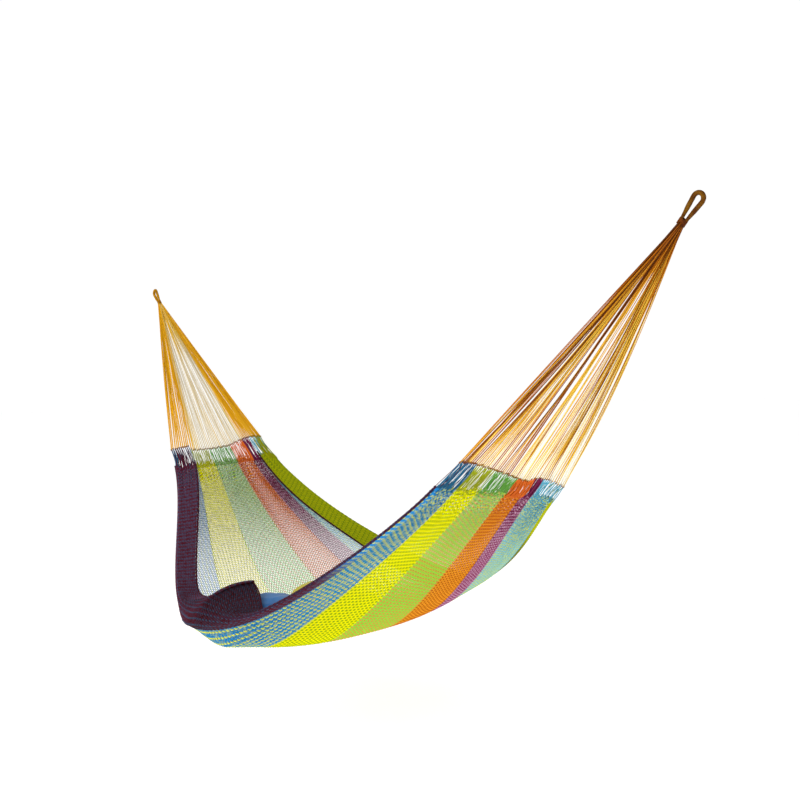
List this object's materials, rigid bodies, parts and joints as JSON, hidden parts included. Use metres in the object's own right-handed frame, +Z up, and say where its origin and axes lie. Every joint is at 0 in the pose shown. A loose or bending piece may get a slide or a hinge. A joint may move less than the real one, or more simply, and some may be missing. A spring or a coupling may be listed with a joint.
{
  "type": "rope hammock",
  "caption": "Woven net hammock in coloured lengthwise stripes, hung by fans of cords from two cord-wrapped eyes, with two cushions lying in the bed.",
  "frame": {"origin": "the point where a hook bears inside the far eye", "axes": "+X from the far eye to the near eye, +Y from the front edge to the back edge, +Z up"},
  "size_m": [2.8142, 1.1909, 1.297],
  "materials": {
    "eye_core_cord": "matte",
    "eye_wrapping_cord": "matte",
    "whipping_cord": "matte",
    "golden_cord": "matte",
    "rust_cord": "matte",
    "end_loop_cord": "matte",
    "maroon_net": "matte",
    "blue_net": "matte",
    "yellow_net": "matte",
    "green_net": "matte",
    "orange_net": "matte",
    "purple_net": "matte",
    "light_blue_net": "matte",
    "olive_net": "matte",
    "edge_cord": "matte",
    "blue_cover": "matte",
    "yellow_cover": "matte",
    "filling": "matte"
  },
  "bodies": {
    "far_eye": {"far_eye_core": "eye_core_cord", "far_eye_wrapping": "eye_wrapping_cord", "far_eye_whipping": "whipping_cord"},
    "bed": {"far_arm_cords": "golden_cord", "far_end_loops": "end_loop_cord", "yellow_stripe": "yellow_net", "green_stripe": "green_net", "orange_stripe": "orange_net", "purple_stripe": "purple_net", "near_end_loops": "end_loop_cord", "near_arm_cords": "rust_cord"},
    "front_edge": {"maroon_border": "maroon_net", "blue_stripe": "blue_net", "front_edge_cord": "edge_cord", "blue_cushion_cover": "blue_cover", "blue_cushion_filling": "filling"},
    "back_edge": {"light_blue_stripe": "light_blue_net", "olive_border": "olive_net", "back_edge_cord": "edge_cord"},
    "near_eye": {"near_eye_whipping": "whipping_cord", "near_eye_wrapping": "eye_wrapping_cord", "near_eye_core": "eye_core_cord"},
    "yellow_cushion": {"yellow_cushion_cover": "yellow_cover", "yellow_cushion_filling": "filling"}
  },
  "joints": [
    {"name": "swing", "type": "hinge", "parent": "far_eye", "child": "bed", "pos_m": [0.05186, 0, -0.0596], "axis": [1, 0, 0], "range_deg": [-30, 30]},
    {"name": "near_eye_turn", "type": "hinge", "parent": "bed", "child": "near_eye", "pos_m": [2.73314, 0, -0.0596], "axis": [1, 0, 0], "range_deg": [-30, 30]},
    {"name": "front_edge_spread", "type": "hinge", "parent": "bed", "child": "front_edge", "pos_m": [0.5781, -0.2159, -0.6874], "axis": [-0.9985, 0.0382, -0.0385], "range_deg": [0, 20]},
    {"name": "back_edge_spread", "type": "hinge", "parent": "bed", "child": "back_edge", "pos_m": [0.5581, 0.2159, -0.665], "axis": [0.9982, 0.0405, -0.0437], "range_deg": [0, 20]},
    {"name": "yellow_cushion_lift", "type": "slide", "parent": "bed", "child": "yellow_cushion", "axis": [0, 0, 1], "range_m": [0, 0.4]}
  ],
  "couplings": [
    {"joint": "near_eye_turn", "follows": "swing", "ratio": -1}
  ]
}
